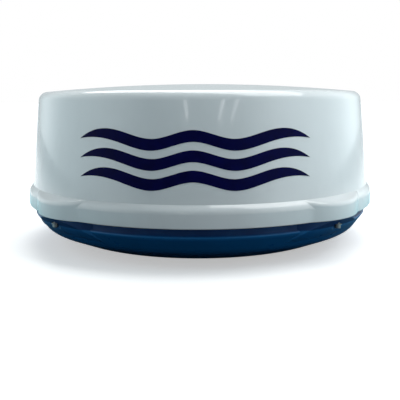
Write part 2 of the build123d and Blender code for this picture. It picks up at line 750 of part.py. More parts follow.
def encoder_disc():
    """Slotted disc on the output shaft."""
    body = tube(20, 4, 104.6, 105.8)
    for k in range(12):
        body -= Rot(0, 0, 30 * k) * block(14.5, 18.5, -1.5, 1.5, 104, 107)
    return Pos(MOTOR_X, 0, 0) * body


def motor_bracket():
    """Folded steel bracket that holds the gearmotor under the gear."""
    top = MOTOR_PLATE_TOP
    body = block(-30, 30, -36, 36, top - BRACKET_SHEET, top)
    for side in (-1, 1):
        leg_y = sorted((side * (36 - BRACKET_SHEET), side * 36))
        body += block(-30, 30, *leg_y, PLATE_TOP, top)
        foot_y = sorted((side * 36, side * 54))
        body += block(-30, 30, *foot_y, PLATE_TOP, PLATE_TOP + BRACKET_SHEET)
        for dx in (-BRACKET_FOOT[0], BRACKET_FOOT[0]):
            body -= cyl(M5_CLEAR_R, PLATE_TOP - 1, PLATE_TOP + 4, dx, side * BRACKET_FOOT[1])
    body -= cyl(6, top - 4, top + 1)
    for x, y in gearbox_screw_spots():
        body -= cyl(M3_CLEAR_R, top - 4, top + 1, x, y)
    return Pos(MOTOR_X, 0, 0) * body


def gearbox_screw_spots():
    """Places of the gearbox screws, about the motor's axis."""
    return [polar(20, 45 + 90 * k) for k in range(4)]


def gearbox():
    """Round gearbox under the bracket's top."""
    top = MOTOR_PLATE_TOP - BRACKET_SHEET
    body = cyl(29, top - 24, top) - cyl(4.4, top - 12, top + 1)
    body = fillet(body.edges().group_by(Axis.Z)[0], 2)
    for x, y in gearbox_screw_spots():
        body -= cyl(1.55, top - 9, top + 1, x, y)
    return Pos(MOTOR_X, 0, 0) * body


def scanner_motor():
    """Brushless motor below the gearbox, with a cooling groove and a rear boss."""
    top = MOTOR_PLATE_TOP - 27
    body = cyl(27, top - 24, top)
    body = fillet(body.edges().group_by(Axis.Z)[0], 2.5)
    for k in range(3):
        body -= tube(30, 26, top - 8 - 5 * k, top - 6 - 5 * k)
    body += cyl(9, top - 27, top - 24)
    body += block(22, 30, -7, 7, top - 22, top - 10)
    return Pos(MOTOR_X, 0, 0) * body


def pulse_sensor():
    """Forked light barrier over the encoder disc's edge."""
    body = block(17, 28, -6, 6, MOTOR_PLATE_TOP, 108.6)
    body -= block(10, 22, -7, 7, 103.4, 107)
    return Pos(MOTOR_X, 0, 0) * body


def heading_bracket():
    """Folded stand for the heading sensor."""
    body = block(-7, 7, -76, -74, PLATE_TOP, 103) + block(-7, 7, -90, -74, PLATE_TOP, PLATE_TOP + 2)
    body += block(-7, 7, -76, -66, 101, 103)
    return body - cyl(1.7, 0, 60, 0, -84)


def heading_sensor():
    """Hall sensor that sees the magnet pass."""
    return block(-5.5, 5.5, -77.5, -67, 103, 107) + block(-4, 4, -79.5, -76, 92, 104)


# ================================================================ transceiver

def transceiver_case():
    """Cast box with cooling fins on its outer end."""
    x0, x1 = CASE_X
    body = block(x0, x1, -CASE_Y, CASE_Y, PLATE_TOP, CASE_TOP)
    body = fillet(body.edges().filter_by(Axis.Z), 6)
    body -= fillet(block(x0 + 3, x1 - 3, -CASE_Y + 3, CASE_Y - 3, PLATE_TOP + 3, CASE_TOP + 1)
                   .edges().filter_by(Axis.Z), 4)
    for x, y in case_screw_spots():
        body += cyl(4.5, PLATE_TOP + 2, CASE_TOP, x, y)
        body -= cyl(M3_TAP_R, CASE_TOP - 12, CASE_TOP + 1, x, y)
    for k in range(9):
        y = -40 + 10 * k
        body += block(x0 + 10, x1 - 10, y - 1.2, y + 1.2, PLATE_TOP + 2, PLATE_TOP + 5)
    return body - block(*FEED_SLOT, 0, PLATE_TOP + 6)


def case_screw_spots():
    """Plan positions of the cover screws."""
    x0, x1 = CASE_X
    return [(x, y) for x in (x0 + 8, x1 - 8) for y in (-CASE_Y + 8, CASE_Y - 8)]


def transceiver_cover():
    """Pressed lid of the transceiver with a raised field."""
    x0, x1 = CASE_X
    body = block(x0, x1, -CASE_Y, CASE_Y, CASE_TOP, CASE_TOP + 2)
    body = fillet(body.edges().filter_by(Axis.Z), 6)
    body += block(x0 + 20, x1 - 20, -CASE_Y + 20, CASE_Y - 20, CASE_TOP + 2, CASE_TOP + 4)
    for x, y in case_screw_spots():
        body -= cyl(M3_CLEAR_R, CASE_TOP - 1, CASE_TOP + 3, x, y)
    return body


def magnetron():
    """Finned magnetron anode between its magnet poles."""
    body = cyl(14, 45, 88)
    for k in range(5):
        body += cyl(19, 54 + 5 * k, 55.6 + 5 * k)
    body += block(-26, 26, -9, 9, 45, 50) + block(-26, 26, -9, 9, 80, 85)
    body += block(20, 26, -9, 9, 45, 85) + block(-26, -20, -9, 9, 45, 85)
    return Pos(-100, 31, -1.5) * body


def circulator():
    """Ferrite circulator on the waveguide's upper end."""
    body = cyl(17, 44.3, 62, -130, 0) + block(-147, -113, -13, 13, 47, 60)
    return body - block(-136.5, -123.5, -11.5, 11.5, 44, 56)


def modulator_board():
    """Modulator board with its pulse transformer and storage capacitors."""
    under = 54.0
    top = under + BOARD_THICKNESS
    plate = block(-172, -82, -47, -19, under, top)
    transformer = block(-168, -140, -45, -22, top, top + 26.4)
    plate += transformer
    for k in range(4):
        capacitor = cyl(6, top, top + 22.4, -128 + 13 * k, -38)
        post = cyl(3, 43.5, under + 0.2, -166 + 26 * k, -24)
        plate += capacitor
        plate += post
    choke = block(-120, -90, -28, -21, top, top + 7.4)
    return plate + choke


def feed_waveguide():
    """Waveguide from the circulator down and in to the rotary joint."""
    z0 = 16.0
    z1 = z0 + GUIDE_H
    x_in = -22.2
    x_out = -130 - GUIDE_H / 2
    body = block(x_out, x_in, -GUIDE_W / 2, GUIDE_W / 2, z0, z1)
    body += block(x_out, x_out + GUIDE_H, -GUIDE_W / 2, GUIDE_W / 2, z0, 42)
    body -= block(x_out + GUIDE_WALL, x_in + 1, -GUIDE_W / 2 + GUIDE_WALL, GUIDE_W / 2 - GUIDE_WALL,
                  z0 + GUIDE_WALL, z1 - GUIDE_WALL)
    body -= block(x_out + GUIDE_WALL, x_out + GUIDE_H - GUIDE_WALL, -GUIDE_W / 2 + GUIDE_WALL,
                  GUIDE_W / 2 - GUIDE_WALL, z0 + GUIDE_WALL, 43)
    rim = block(x_out - 3, x_out + GUIDE_H + 3, -15.5, 15.5, 41.5, 44)
    rim -= block(x_out + GUIDE_WALL, x_out + GUIDE_H - GUIDE_WALL, -GUIDE_W / 2 + GUIDE_WALL,
                 GUIDE_W / 2 - GUIDE_WALL, 41, 45)
    return body + rim


def rotary_joint_stator():
    """Fixed half of the rotary joint, under the plate."""
    body = cyl(22, 13, PLATE_BOTTOM) - cyl(7, 16, PLATE_BOTTOM + 1)
    body += tube(34, 21, PLATE_BOTTOM - 3, PLATE_BOTTOM)
    return body - block(-30, 0, -8, 8, 19, 26)


# ================================================================ electronics

def board(x0, x1, y0, y1, hole_inset=5.0):
    """Bare circuit board and its corner hole positions."""
    plate = block(x0, x1, y0, y1, BOARD_BOTTOM, BOARD_BOTTOM + BOARD_THICKNESS)
    spots = [(x, y) for x in (x0 + hole_inset, x1 - hole_inset) for y in (y0 + hole_inset, y1 - hole_inset)]
    for x, y in spots:
        plate -= cyl(M3_TAP_R, BOARD_BOTTOM - 1, BOARD_BOTTOM + 3, x, y)
    return plate, spots


RECEIVER_AREA = (-62.0, 62.0, -166.0, -98.0)
CONTROL_AREA = (-76.0, 76.0, 92.0, 162.0)


def receiver_board():
    """Receiver board with its connector row."""
    plate, _ = board(*RECEIVER_AREA)
    top = BOARD_BOTTOM + BOARD_THICKNESS
    plate += block(-10, 34, -104.5, -98.5, top, top + 7)
    for k in range(5):
        plate += block(-54 + 8 * k, -50 + 8 * k, -110, -105, top, top + 2.5)
    return plate


def receiver_shield():
    """Tinned can over the receiver's front end."""
    top = BOARD_BOTTOM + BOARD_THICKNESS
    sheet = 0.8
    can = block(-50, 50, -160, -114, top, top + 14)
    can -= block(-50 + sheet, 50 - sheet, -160 + sheet, -114 - sheet, top, top + 14 - sheet)
    for k in range(6):
        for row in range(3):
            can -= cyl(2, top + 10, top + 20, -40 + 16 * k, -150 + 13 * row)
    return can


def control_board():
    """Motor control and power board with its larger components."""
    plate, _ = board(*CONTROL_AREA)
    top = BOARD_BOTTOM + BOARD_THICKNESS
    converter = block(-30, 6, 100, 130, top, top + 18)
    plate += converter
    for k in range(4):
        capacitor = cyl(6.5, top, top + 16, -60 + 15 * k, 146)
        plate += capacitor
    heat_sink = block(20, 54, 108, 112, top, top + 26)
    plate += heat_sink
    for k in range(3):
        transistor = block(24 + 10 * k, 30 + 10 * k, 112, 120, top, top + 12)
        plate += transistor
    processor = block(-14, 14, 138, 156, top, top + 2.6)
    return plate + processor


def terminal_blocks():
    """Screw terminal rows for the ship's cable."""
    solids = []
    top = BOARD_BOTTOM + BOARD_THICKNESS
    for x0 in (16, 41.5):
        row = block(x0, x0 + 25, 150, 161, top, top + 11)
        for k in range(5):
            row -= cyl(1.7, top + 7, top + 12, x0 + 2.5 + 5 * k, 153.5)
            row -= block(x0 + 1 + 5 * k, x0 + 4 + 5 * k, 156, 162, top + 1.5, top + 6)
        solids.append(row)
    return Compound(children=solids)


def board_spots():
    """Corner holes of both boards."""
    return board(*RECEIVER_AREA)[1] + board(*CONTROL_AREA)[1]


def board_standoffs():
    """Hexagonal brass standoffs under the boards."""
    solids = []
    for x, y in board_spots():
        post = hex_prism(5.5, PLATE_TOP, BOARD_BOTTOM) - cyl(M3_R, BOARD_BOTTOM - 6, BOARD_BOTTOM + 1)
        solids.append(Pos(x, y, 0) * post)
    return Compound(children=solids)


def m3_screws():
    """M3 screws of the boards, the transceiver cover, the heading bracket and the gearbox."""
    solids = []
    for x, y in board_spots():
        screw = pan_screw(M3_R - 0.05, 7, M3_HEAD_R, M3_HEAD)
        solids.append(Pos(x, y, BOARD_BOTTOM + BOARD_THICKNESS) * screw)
    for x, y in case_screw_spots():
        solids.append(Pos(x, y, CASE_TOP + 2) * pan_screw(M3_R, 7, M3_HEAD_R, M3_HEAD))
    for x, y in gearbox_screw_spots():
        screw = pan_screw(M3_R, 10, M3_HEAD_R, M3_HEAD)
        solids.append(Pos(MOTOR_X + x, y, MOTOR_PLATE_TOP) * screw)
    solids.append(Pos(0, -84, PLATE_TOP + 2) * pan_screw(M3_R, 2, M3_HEAD_R, M3_HEAD))
    return Compound(children=solids)


def cable_clamp():
    """Saddle that holds and earths the cable's screen behind the gland."""
    y0 = 212.0
    width = 12.0
    bore_r = 6.0
    foot = block(-16, 16, y0, y0 + width, FLOOR_TOP + 0.2, FLOOR_TOP + 3)
    post = block(-bore_r, bore_r, y0, y0 + width, FLOOR_TOP + 3, GLAND_Z - bore_r)
    ring = gland_plane(y0) * (extrude(Circle(bore_r + 3), width) - extrude(Circle(bore_r), width))
    return foot + post + ring


# ================================================================ internal leads

def lead(points, r):
    """Round lead along straight runs joined by large tangent arcs."""
    path = [Vector(*p) for p in points]
    arcs = []
    for a, b, c in zip(path, path[1:], path[2:]):
        turn = radians((b - a).get_angle(c - b))
        arcs.append(0.45 * min((b - a).length, (c - b).length) / tan(turn / 2))
    print("lead radii", [round(a, 1) for a in arcs])
    wire = FilletPolyline(*points, radius=arcs)
    start = Plane(origin=path[0], z_dir=(path[1] - path[0]).normalized())
    return sweep(start * Circle(r), path=wire)


def motor_lead():
    """Lead from the motor to the control board."""
    return lead([(125.2, 0, 56), (138, 1, 55), (149, 14, 54), (150, 42, 52), (141, 72, 51),
                 (122, 97, 50.5), (99, 112, 51), (76.5, 118, 52.5)], 2.4)


def transceiver_lead():
    """Lead from the transceiver to the control board."""
    return lead([(-120, 55.2, 62), (-119, 70, 62), (-112, 88, 58), (-98, 103, 54),
                 (-76.5, 112, 52.5)], 2.6)


def sensor_lead():
    """Lead from the heading sensor to the receiver board."""
    return lead([(0, -79.8, 96), (0.5, -86, 95), (2, -90.5, 88), (4, -92, 78), (7, -93, 68), (11, -96, 62),
                 (13, -100.5, 56.4)], 1.5)


# ================================================================ radiator

def radiator_bracket():
    """Cast hub, hollow column and cradle for the radiator."""
    z0 = GEAR_BOTTOM + GEAR_WIDTH
    body = cyl(36, z0, z0 + 5)
    column = spin([(0, z0), (24, z0), (17, z0 + 22), (17, 164), (0, 164)])
    body += column
    body += fillet(block(-78, 78, -11, 19, 162, 166).edges().filter_by(Axis.Z), 5)
    rib = make_face(Polyline((12, 0, 140), (70, 0, 162), (12, 0, 162), close=True))
    for turn in (0, 180):
        body += Rot(0, 0, turn) * (Pos(0, 2, 0) * extrude(rib, 4, dir=(0, -1, 0)))
    back_y = GUIDE_FRONT_Y + GUIDE_W
    body += block(-78, 78, back_y + 1.6, back_y + 5.6, 162, 214)
    body -= cyl(11, z0 - 1, 170)
    body -= cyl(SHAFT_R, z0 - 1, z0 + 0.01)
    for x, y in hub_screw_spots():
        body -= cyl(M4_CLEAR_R, z0 - 1, z0 + 30, x, y)
        body -= cyl(4.4, z0 + 5, z0 + 30, x, y)
    for x, z in radiator_screw_spots():
        body -= screw_plane(x, 0, z) * extrude(Circle(M4_TAP_R), 60)
    return body


def hub_screws():
    """Six screws through the bracket and the gear into the shaft's flange."""
    z = GEAR_BOTTOM + GEAR_WIDTH + 5
    solids = []
    for x, y in hub_screw_spots():
        solids.append(Pos(x, y, z) * cap_screw(M4_R, 14, 3.5, 4))
    return Compound(children=solids)


def screw_plane(x, y, z):
    """Plane at a point, square to the fore and aft direction."""
    return Plane(origin=(x, y, z), x_dir=(1, 0, 0), z_dir=(0, 1, 0))


def radiator_screw_spots():
    """Places of the cradle's screws, as X and height."""
    return [(x, z) for x in (-66, 66) for z in (RADIATOR_Z - 13, RADIATOR_Z + 10)]


def coax_line():
    """Inner conductor with its supports, from the rotary joint to the waveguide."""
    body = cyl(2.5, 19, RADIATOR_Z - 1)
    for z0 in (44, 92, 140, 176):
        body += cyl(SHAFT_BORE_R - 0.3, z0, z0 + 4)
    body += cyl(5, 19, 23)
    outer = tube(9.4, SHAFT_BORE_R, GEAR_BOTTOM + GEAR_WIDTH + 0.2, RADIATOR_Z - GUIDE_H / 2)
    return body + outer + tube(SHAFT_BORE_R + 0.5, 2, 176, 180)


def slotted_waveguide():
    """Radiating waveguide with inclined slots in its front face and a mounting lip."""
    half = RADIATOR_HALF - 2
    y0 = GUIDE_FRONT_Y
    z0 = RADIATOR_Z - GUIDE_H / 2
    wall = GUIDE_WALL
    body = block(-half, half, y0, y0 + GUIDE_W, z0, z0 + GUIDE_H)
    body -= block(-half + 3, half - 3, y0 + wall, y0 + GUIDE_W - wall, z0 + wall, z0 + GUIDE_H - wall)
    body -= cyl(5, z0 - 2, z0 + wall + 1)
    pitch = 2 * (half - 20) / (SLOT_COUNT - 1)
    for k in range(SLOT_COUNT):
        tilt = 18 if k % 2 else -18
        slot = Rot(0, tilt, 0) * Box(1.6, 2 * wall + 2, GUIDE_H * 0.86)
        body -= Pos(-half + 20 + k * pitch, y0, RADIATOR_Z) * slot
    back = y0 + GUIDE_W
    body += block(-78, 78, back - 0.2, back + 1.6, RADIATOR_Z - 17, RADIATOR_Z + 13)
    for x, z in radiator_screw_spots():
        body -= screw_plane(x, back - 0.1, z) * extrude(Circle(M4_R + 0.05), 10)
    return body


def horn_flares():
    """Upper and lower aluminium sheets of the sectoral horn."""
    half = RADIATOR_HALF - 2
    throat = GUIDE_H / 2
    solids = []
    for side in (1, -1):
        outline = [(GUIDE_FRONT_Y + 2, throat), (GUIDE_FRONT_Y, throat),
                   (APERTURE_Y, APERTURE_HALF - FLARE_SHEET), (APERTURE_Y, APERTURE_HALF),
                   (GUIDE_FRONT_Y - 0.6, throat + FLARE_SHEET), (GUIDE_FRONT_Y + 2, throat + FLARE_SHEET)]
        points = [(-half, y, RADIATOR_Z + side * z) for y, z in outline]
        solids.append(extrude(make_face(Polyline(points, close=True)), 2 * half, dir=(1, 0, 0)))
    return Compound(children=solids)


def radiator_window():
    """Front sheet that closes the horn's mouth."""
    half = RADIATOR_HALF - 2
    low = RADIATOR_Z - APERTURE_HALF
    sheet = block(-half, half, APERTURE_Y - 2, APERTURE_Y, low, low + 2 * APERTURE_HALF)
    return fillet(sheet.edges().filter_by(Axis.Y), 3)


def radiator_end_plates():
    """Plates that close the horn's two ends."""
    rear_half = GUIDE_H / 2 + 5
    outline = [(APERTURE_Y - 2, -APERTURE_HALF), (APERTURE_Y - 2, APERTURE_HALF),
               (APERTURE_Y + 6, APERTURE_HALF), (GUIDE_FRONT_Y + 6, rear_half), (14, rear_half),
               (14, -rear_half), (GUIDE_FRONT_Y + 6, -rear_half), (APERTURE_Y + 6, -APERTURE_HALF)]
    solids = []
    for side in (1, -1):
        x = side * (RADIATOR_HALF - 2)
        points = [(x, y, RADIATOR_Z + z) for y, z in outline]
        solids.append(extrude(make_face(Polyline(points, close=True)), 2, dir=(side, 0, 0)))
    return Compound(children=solids)


def radiator_screws():
    """Screws through the cradle into the waveguide's lip."""
    y = GUIDE_FRONT_Y + GUIDE_W + 5.6
    solids = []
    for x, z in radiator_screw_spots():
        solids.append(screw_plane(x, y, z) * pan_screw(M4_R, 5, 3.6, 2.6))
    return Compound(children=solids)


NODES = (
    upper_radome, radome_inserts, front_decal, lower_base, rim_gasket, radome_bolts, bolt_washers,
    mounting_inserts, gland_body, gland_nut, gland_seal, gland_locknut, breather_plug, ground_screw,
    ground_washer, cable_clamp, chassis_spacers, chassis_plate, m5_screws, bearing_housing,
    bearing_outer_rings, bearing_balls, motor_bracket, gearbox, scanner_motor, pulse_sensor,
    heading_bracket, heading_sensor, transceiver_case, transceiver_cover, magnetron, circulator,
    modulator_board, feed_waveguide, rotary_joint_stator, receiver_board, receiver_shield,
    control_board, terminal_blocks, board_standoffs, m3_screws, motor_lead, transceiver_lead,
    sensor_lead, antenna_shaft, bearing_inner_rings, shaft_nut, main_gear, heading_magnet,
    radiator_bracket, hub_screws, coax_line, slotted_waveguide, horn_flares, radiator_window,
    radiator_end_plates, radiator_screws, output_shaft, pinion, encoder_disc,
)

for make in NODES:
    save(make(), make.__name__)
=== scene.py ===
import json
from math import cos, pi, radians, sin

import bmesh
import bpy
from mathutils import Matrix, Vector

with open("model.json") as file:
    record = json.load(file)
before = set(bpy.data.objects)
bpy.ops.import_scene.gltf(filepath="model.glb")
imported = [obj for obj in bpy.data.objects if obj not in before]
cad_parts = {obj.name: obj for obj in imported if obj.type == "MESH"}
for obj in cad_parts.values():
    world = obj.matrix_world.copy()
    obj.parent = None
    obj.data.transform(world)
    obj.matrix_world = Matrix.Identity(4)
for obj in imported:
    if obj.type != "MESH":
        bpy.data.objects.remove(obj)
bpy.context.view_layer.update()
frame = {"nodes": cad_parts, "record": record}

# Marine radar dome antenna, in metres. +Z is up, -Y is the front, the floor is at z = 0.

NODES = frame["nodes"]

# Paint and shell colours, linear.
GELCOAT_WHITE = (0.80, 0.825, 0.835)
GELCOAT_GRIME = (0.52, 0.54, 0.53)
BASE_BLUE = (0.0008, 0.090, 0.262)
BASE_DUST = (0.05, 0.09, 0.12)
SHOULDER_HIGHLIGHT_BLUE = (0.012, 0.150, 0.400)     # painted highlight along the bowl's shoulder
NECK_SHADE_BLUE = (0.0008, 0.024, 0.115)      # painted shade in the neck under the skirt's overhang
DECAL_NAVY = (0.0008, 0.0014, 0.044)
BOARD_GREEN = (0.006, 0.075, 0.028)
TRACK_GREEN = (0.018, 0.17, 0.062)
BOARD_DUST = (0.10, 0.16, 0.12)

# Heights on the base of the painted shoulder highlight and the painted neck shade, with the width of each
# soft edge.
SHOULDER_RISE = (0.050, 0.056)
SHOULDER_FALL = (0.0565, 0.0590)
NECK_RISE = (0.0572, 0.0592)
NECK_FALL = (0.0700, 0.0716)


# ------------------------------------------------------------------ material helpers

class Surface:
    """A procedural material on one Principled shader, built up in steps."""

    def __init__(self, name, roughness=0.5, metallic=0.0, **sockets):
        self.material = bpy.data.materials.new(name)
        self.material.use_nodes = True
        self.tree = self.material.node_tree
        self.shader = next(n for n in self.tree.nodes if n.type == "BSDF_PRINCIPLED")
        self.shader.inputs["Roughness"].default_value = roughness
        self.shader.inputs["Metallic"].default_value = metallic
        for key, value in sockets.items():
            self.shader.inputs[key.replace("_", " ")].default_value = value
        self.coords = self.tree.nodes.new("ShaderNodeTexCoord")
        self.normal = None

    def add(self, kind, **values):
        """New node with its properties and sockets set."""
        node = self.tree.nodes.new(kind)
        for key, value in values.items():
            if hasattr(node, key) and not isinstance(value, bpy.types.NodeSocket):
                setattr(node, key, value)
            else:
                self.put(node, key.replace("_", " "), value)
        return node

    def put(self, node, key, value):
        """Sets or links one input."""
        socket = node.inputs[int(key) if key.isdigit() else key]
        if isinstance(value, bpy.types.NodeSocket):
            self.tree.links.new(value, socket)
        else:
            socket.default_value = value

    def stretched(self, stretch):
        """Object coordinates, stretched along the axes."""
        mapping = self.add("ShaderNodeMapping")
        mapping.inputs["Scale"].default_value = stretch
        self.tree.links.new(self.coords.outputs["Object"], mapping.inputs["Vector"])
        return mapping.outputs[0]

    def noise(self, scale, detail=3.0, roughness=0.55, stretch=(1, 1, 1), distortion=0.0):
        """Noise value in object space, scale in cells per metre."""
        node = self.add("ShaderNodeTexNoise")
        for key, value in (("Scale", scale), ("Detail", detail), ("Roughness", roughness),
                           ("Distortion", distortion)):
            node.inputs[key].default_value = value
        self.tree.links.new(self.stretched(stretch), node.inputs["Vector"])
        return node.outputs[0]

    def ramp(self, value, stops):
        """Colour ramp over a value; stops are (place, colour or grey)."""
        node = self.add("ShaderNodeValToRGB")
        elements = node.color_ramp.elements
        while len(elements) < len(stops):
            elements.new(0.5)
        for element, (place, colour) in zip(elements, stops):
            element.position = place
            grey = isinstance(colour, (int, float))
            element.color = (colour, colour, colour, 1) if grey else (*colour[:3], 1)
        self.tree.links.new(value, node.inputs[0])
        return node.outputs[0]

    def fit(self, value, low, high, from_low=0.3, from_high=0.7):
        """Value brought from one range to another, clamped."""
        node = self.add("ShaderNodeMapRange")
        self.tree.links.new(value, node.inputs["Value"])
        limits = {"From Min": from_low, "From Max": from_high, "To Min": low, "To Max": high}
        for key, number in limits.items():
            node.inputs[key].default_value = number
        return node.outputs[0]

    def mix(self, factor, a, b):
        """Mix of two colours."""
        node = self.add("ShaderNodeMix", data_type="RGBA")
        for index, value in ((0, factor), (6, a), (7, b)):
            if isinstance(value, bpy.types.NodeSocket):
                self.tree.links.new(value, node.inputs[index])
            else:
                node.inputs[index].default_value = value if index == 0 else (*value[:3], 1)
        return node.outputs[2]

    def math(self, operation, a, b=0.0):
        """Arithmetic on two values."""
        node = self.add("ShaderNodeMath", operation=operation)
        for index, value in enumerate((a, b)):
            if isinstance(value, bpy.types.NodeSocket):
                self.tree.links.new(value, node.inputs[index])
            else:
                node.inputs[index].default_value = value
        return node.outputs[0]

    def bump(self, height, strength, distance):
        """Adds a bump to the ones there already; distance in metres."""
        node = self.add("ShaderNodeBump")
        node.inputs["Strength"].default_value = strength
        node.inputs["Distance"].default_value = distance
        self.tree.links.new(height, node.inputs["Height"])
        if self.normal is not None:
            self.tree.links.new(self.normal, node.inputs["Normal"])
        self.normal = node.outputs[0]

    def edge_mask(self, radius, low=0.03, high=0.25):
        """One on sharp edges and corners, zero on flat faces."""
        bevel = self.add("ShaderNodeBevel", samples=4)
        bevel.inputs["Radius"].default_value = radius
        geometry = self.add("ShaderNodeNewGeometry")
        dot = self.add("ShaderNodeVectorMath", operation="DOT_PRODUCT")
        self.tree.links.new(bevel.outputs[0], dot.inputs[0])
        self.tree.links.new(geometry.outputs["Normal"], dot.inputs[1])
        bent = self.math("SUBTRACT", 1.0, dot.outputs["Value"])
        return self.fit(bent, 0.0, 1.0, low, high)

    def done(self, colour=None, roughness=None):
        """Links the finished colour, roughness and bump."""
        for key, socket in (("Base Color", colour), ("Roughness", roughness), ("Normal", self.normal)):
            if socket is not None:
                self.tree.links.new(socket, self.shader.inputs[key])
        return self.material


def tint(colour, gain):
    """Colour made lighter or darker."""
    return tuple(min(1.0, c * gain) for c in colour[:3])


# ------------------------------------------------------------------ materials

def gelcoat():
    """Gloss white moulded shell: faint orange peel, soft dust and a few scuffs."""
    s = Surface("radome_gelcoat_white", roughness=0.1, Coat_Weight=0.6, Coat_Roughness=0.04, IOR=1.5)
    cloud = s.noise(7.0, detail=4)
    colour = s.ramp(cloud, [(0.30, tint(GELCOAT_WHITE, 0.965)), (0.72, tint(GELCOAT_WHITE, 1.02))])
    grime = s.fit(s.noise(26.0, detail=6, stretch=(1, 1, 0.35)), 0.0, 0.10, 0.52, 0.80)
    colour = s.mix(grime, colour, GELCOAT_GRIME)
    rough = s.fit(s.noise(48.0, detail=5), 0.07, 0.16)
    s.bump(s.noise(190.0, detail=2), 0.10, 0.00018)
    s.bump(s.noise(14.0, detail=1), 0.16, 0.0009)
    return s.done(colour, rough)


def blue_paint():
    """Satin dark blue coat over the moulded base, with painted shade in the groove under the skirt and a
    painted highlight along the bowl's shoulder.
    """
    s = Surface("base_paint_blue", roughness=0.30, Coat_Weight=0.04, Coat_Roughness=0.15,
                Specular_IOR_Level=0.22)
    shades = [(0.30, tint(BASE_BLUE, 0.92)), (0.72, tint(BASE_BLUE, 1.08))]
    colour = s.ramp(s.noise(9.0, detail=4), shades)
    dust = s.fit(s.noise(24.0, detail=7), 0.0, 0.03, 0.45, 0.85)
    colour = s.mix(dust, colour, BASE_DUST)
    height = s.add("ShaderNodeSeparateXYZ")
    s.tree.links.new(s.coords.outputs["Object"], height.inputs[0])
    z = height.outputs[2]
    # Painted highlight: the band along the bowl's shoulder is mixed towards a lighter blue.
    shoulder_highlight = s.math("MULTIPLY", s.fit(z, 0.0, 1.0, *SHOULDER_RISE), s.fit(z, 1.0, 0.0, *SHOULDER_FALL))
    colour = s.mix(s.math("MULTIPLY", shoulder_highlight, 0.8), colour, SHOULDER_HIGHLIGHT_BLUE)
    # Painted shade: the neck under the skirt is mixed towards a darker blue and is also made rougher.
    neck_shade = s.math("MULTIPLY", s.fit(z, 0.0, 1.0, *NECK_RISE), s.fit(z, 1.0, 0.0, *NECK_FALL))
    neck_shade = s.math("MULTIPLY", neck_shade, s.fit(s.noise(30.0, detail=5), 0.72, 0.92))
    colour = s.mix(neck_shade, colour, NECK_SHADE_BLUE)
    rough = s.fit(s.noise(60.0, detail=3), 0.27, 0.37)
    rough = s.math("ADD", rough, s.math("MULTIPLY", neck_shade, 0.15))
    s.bump(s.noise(260.0, detail=2), 0.06, 0.00018)
    return s.done(colour, rough)


def vinyl():
    """Navy cut vinyl with a faint grain."""
    s = Surface("decal_vinyl_navy", roughness=0.45, Specular_IOR_Level=0.05)
    shades = [(0.30, tint(DECAL_NAVY, 0.8)), (0.75, tint(DECAL_NAVY, 1.35))]
    colour = s.ramp(s.noise(60.0, detail=4), shades)
    rough = s.fit(s.noise(120.0, detail=5), 0.38, 0.55)
    s.bump(s.noise(520.0, detail=2), 0.12, 0.00008)
    return s.done(colour, rough)


def metal(name, base, rough, brushed=(1, 1, 1), scale=240.0, spread=0.12, tarnish=(0.35, 0.33, 0.30)):
    """Machined or rolled metal with a directional grain and a little tarnish."""
    s = Surface(name, roughness=rough, metallic=1.0)
    grain = s.noise(scale, detail=4, stretch=brushed)
    colour = s.ramp(grain, [(0.30, tint(base, 0.94)), (0.70, tint(base, 1.04))])
    spots = s.fit(s.noise(34.0, detail=5), 0.0, 0.14, 0.50, 0.85)
    colour = s.mix(spots, colour, tuple(t * b for t, b in zip(tarnish, base)))
    roughness = s.fit(s.noise(90.0, detail=5), max(0.05, rough - spread), rough + spread)
    s.bump(grain, 0.06, 0.00001)
    return s.done(colour, roughness)


def cast(name, base, rough=0.5):
    """Sand-textured casting with brighter rubbed edges."""
    s = Surface(name, roughness=rough, metallic=0.9)
    pits = s.noise(900.0, detail=4, roughness=0.7)
    colour = s.ramp(s.noise(40.0, detail=6), [(0.30, tint(base, 0.80)), (0.75, tint(base, 1.05))])
    colour = s.mix(s.edge_mask(0.0008), colour, tint(base, 1.3))
    roughness = s.fit(pits, rough - 0.10, rough + 0.14)
    s.bump(pits, 0.35, 0.00015)
    return s.done(colour, roughness)


def plastic(name, base, rough=0.42, grain=900.0, depth=0.00016, spread=0.09):
    """Moulded plastic with a spark-eroded grain."""
    s = Surface(name, roughness=rough, IOR=1.48)
    fine = s.noise(grain, detail=3)
    colour = s.ramp(s.noise(55.0, detail=5), [(0.28, tint(base, 0.92)), (0.75, tint(base, 1.06))])
    roughness = s.fit(fine, rough - spread, rough + spread)
    s.bump(fine, 0.30, depth)
    return s.done(colour, roughness)


def rubber(name, base):
    """Dull rubber with a bloom of dust."""
    s = Surface(name, roughness=0.72, IOR=1.45)
    bloom = s.fit(s.noise(110.0, detail=6), 0.0, 0.30, 0.48, 0.78)
    colour = s.mix(bloom, base, tint(base, 3.0))
    roughness = s.fit(s.noise(300.0, detail=4), 0.62, 0.86)
    s.bump(s.noise(1300.0, detail=2), 0.35, 0.00012)
    return s.done(colour, roughness)


def circuit_board():
    """Green solder mask over a raised pattern of tracks."""
    s = Surface("pcb_green", roughness=0.35, Coat_Weight=0.4, Coat_Roughness=0.2)
    cells = s.add("ShaderNodeTexVoronoi", feature="DISTANCE_TO_EDGE", distance="EUCLIDEAN")
    cells.inputs["Scale"].default_value = 210.0
    s.tree.links.new(s.stretched((1, 1, 0.02)), cells.inputs["Vector"])
    track = s.fit(cells.outputs[0], 1.0, 0.0, 0.05, 0.12)
    colour = s.mix(track, BOARD_GREEN, TRACK_GREEN)
    dust = s.fit(s.noise(140.0, detail=5), 0.0, 0.15, 0.5, 0.8)
    colour = s.mix(dust, colour, BOARD_DUST)
    roughness = s.fit(s.noise(300.0), 0.28, 0.44)
    s.bump(track, 0.5, 0.00006)
    return s.done(colour, roughness)


